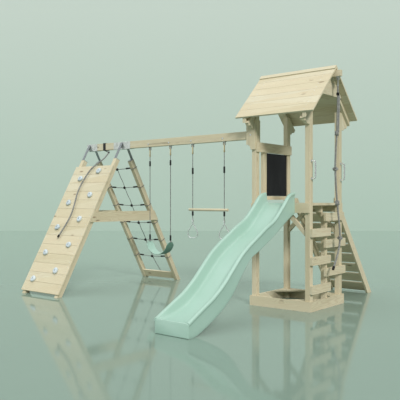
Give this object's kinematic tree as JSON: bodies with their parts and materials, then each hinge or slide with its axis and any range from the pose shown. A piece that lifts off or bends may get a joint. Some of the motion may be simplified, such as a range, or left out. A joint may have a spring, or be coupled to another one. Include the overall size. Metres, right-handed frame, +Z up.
{
  "type": "garden play tower with slide and swings",
  "caption": "Wooden garden play tower with pitched roof, wave slide, step wall, ramp, climbing wall, rope net and a beam with belt swing and trapeze.",
  "frame": {"origin": "on the ground under the middle of the set's bounding box", "axes": "+Z up, +X along the swing beam from the rope frame to the tower, -Y towards the end of the slide"},
  "size_m": [3.955, 3.76, 2.817],
  "materials": {
    "timber": "planed untreated spruce, matt",
    "bar_wood": "turned hardwood, satin",
    "slide_plastic": "blow-moulded polyethylene, satin mint green",
    "seat_plastic": "moulded belt seat, dark green",
    "stone_plastic": "moulded grip, fine texture",
    "black_plastic": "moulded nylon, matt black",
    "chalkboard_paint": "smooth black writing face",
    "rope": "twisted grey polypropylene",
    "galvanised": "zinc plated",
    "bright_steel": "bright plated tube"
  },
  "bodies": {
    "play_set": {"a_frame_brackets": "galvanised", "beam_cheeks": "timber", "beam_saddles": "galvanised", "beam_sling": "black_plastic", "bolt_heads": "galvanised", "chalkboard": "chalkboard_paint", "climbing_stones": "stone_plastic", "corbel_braces": "timber", "corner_posts": "timber", "cross_boards": "timber", "deck_boards": "timber", "deck_fascias": "timber", "deck_joists": "timber", "gable_panels": "timber", "grab_handles": "bright_steel", "hanger_bolts": "galvanised", "hanger_clevises": "galvanised", "hanger_pins": "galvanised", "knee_braces": "timber", "net_fittings": "black_plastic", "net_legs": "timber", "net_rungs": "rope", "net_upright": "rope", "rafters": "timber", "ramp_boards": "timber", "ramp_rails": "timber", "ridge_beam": "timber", "ridge_cap": "timber", "roof_boards": "timber", "sandbox_boards": "timber", "sandbox_seats": "timber", "screw_heads": "galvanised", "side_rails": "timber", "slide_chute": "slide_plastic", "sling_arm": "black_plastic", "step_boards": "timber", "step_stud": "timber", "swing_beam": "timber", "wall_boards": "timber", "wall_legs": "timber"},
    "swing": {"swing_links": "galvanised", "swing_ropes": "rope", "swing_sleeves": "black_plastic", "swing_seat": "seat_plastic", "seat_clamps": "galvanised"},
    "trapeze": {"trapeze_links": "galvanised", "trapeze_ropes": "rope", "trapeze_bar": "bar_wood", "trapeze_sleeves": "black_plastic", "ring_forks": "galvanised"},
    "ring_left": {"grip_ring_left": "bright_steel"},
    "ring_right": {"grip_ring_right": "bright_steel"},
    "knotted_rope": {"climb_link": "galvanised", "climb_rope": "rope", "rope_knots": "rope", "rope_end_cap": "black_plastic"},
    "wall_rope": {"wall_rope": "rope", "wall_rope_fittings": "black_plastic"}
  },
  "joints": [
    {"name": "swing_hinge", "type": "hinge", "parent": "play_set", "child": "swing", "pos_m": [-0.5215, 0.045, 1.955], "axis": [1, 0, 0], "range_deg": [-50, 50]},
    {"name": "trapeze_hinge", "type": "hinge", "parent": "play_set", "child": "trapeze", "pos_m": [0.3115, 0.045, 1.955], "axis": [1, 0, 0], "range_deg": [-50, 50]},
    {"name": "ring_left_hinge", "type": "hinge", "parent": "trapeze", "child": "ring_left", "pos_m": [0.0555, 0.045, 0.978], "axis": [1, 0, 0], "range_deg": [-60, 60]},
    {"name": "ring_right_hinge", "type": "hinge", "parent": "trapeze", "child": "ring_right", "pos_m": [0.5675, 0.045, 0.978], "axis": [1, 0, 0], "range_deg": [-60, 60]},
    {"name": "climbing_rope_hinge", "type": "hinge", "parent": "play_set", "child": "knotted_rope", "pos_m": [1.9325, 0.405, 2.65], "axis": [1, 0, 0], "range_deg": [-30, 30]},
    {"name": "wall_rope_hinge", "type": "hinge", "parent": "play_set", "child": "wall_rope", "pos_m": [-1.4555, -0.035, 1.946], "axis": [1, 0, 0], "range_deg": [-25, 0]}
  ]
}
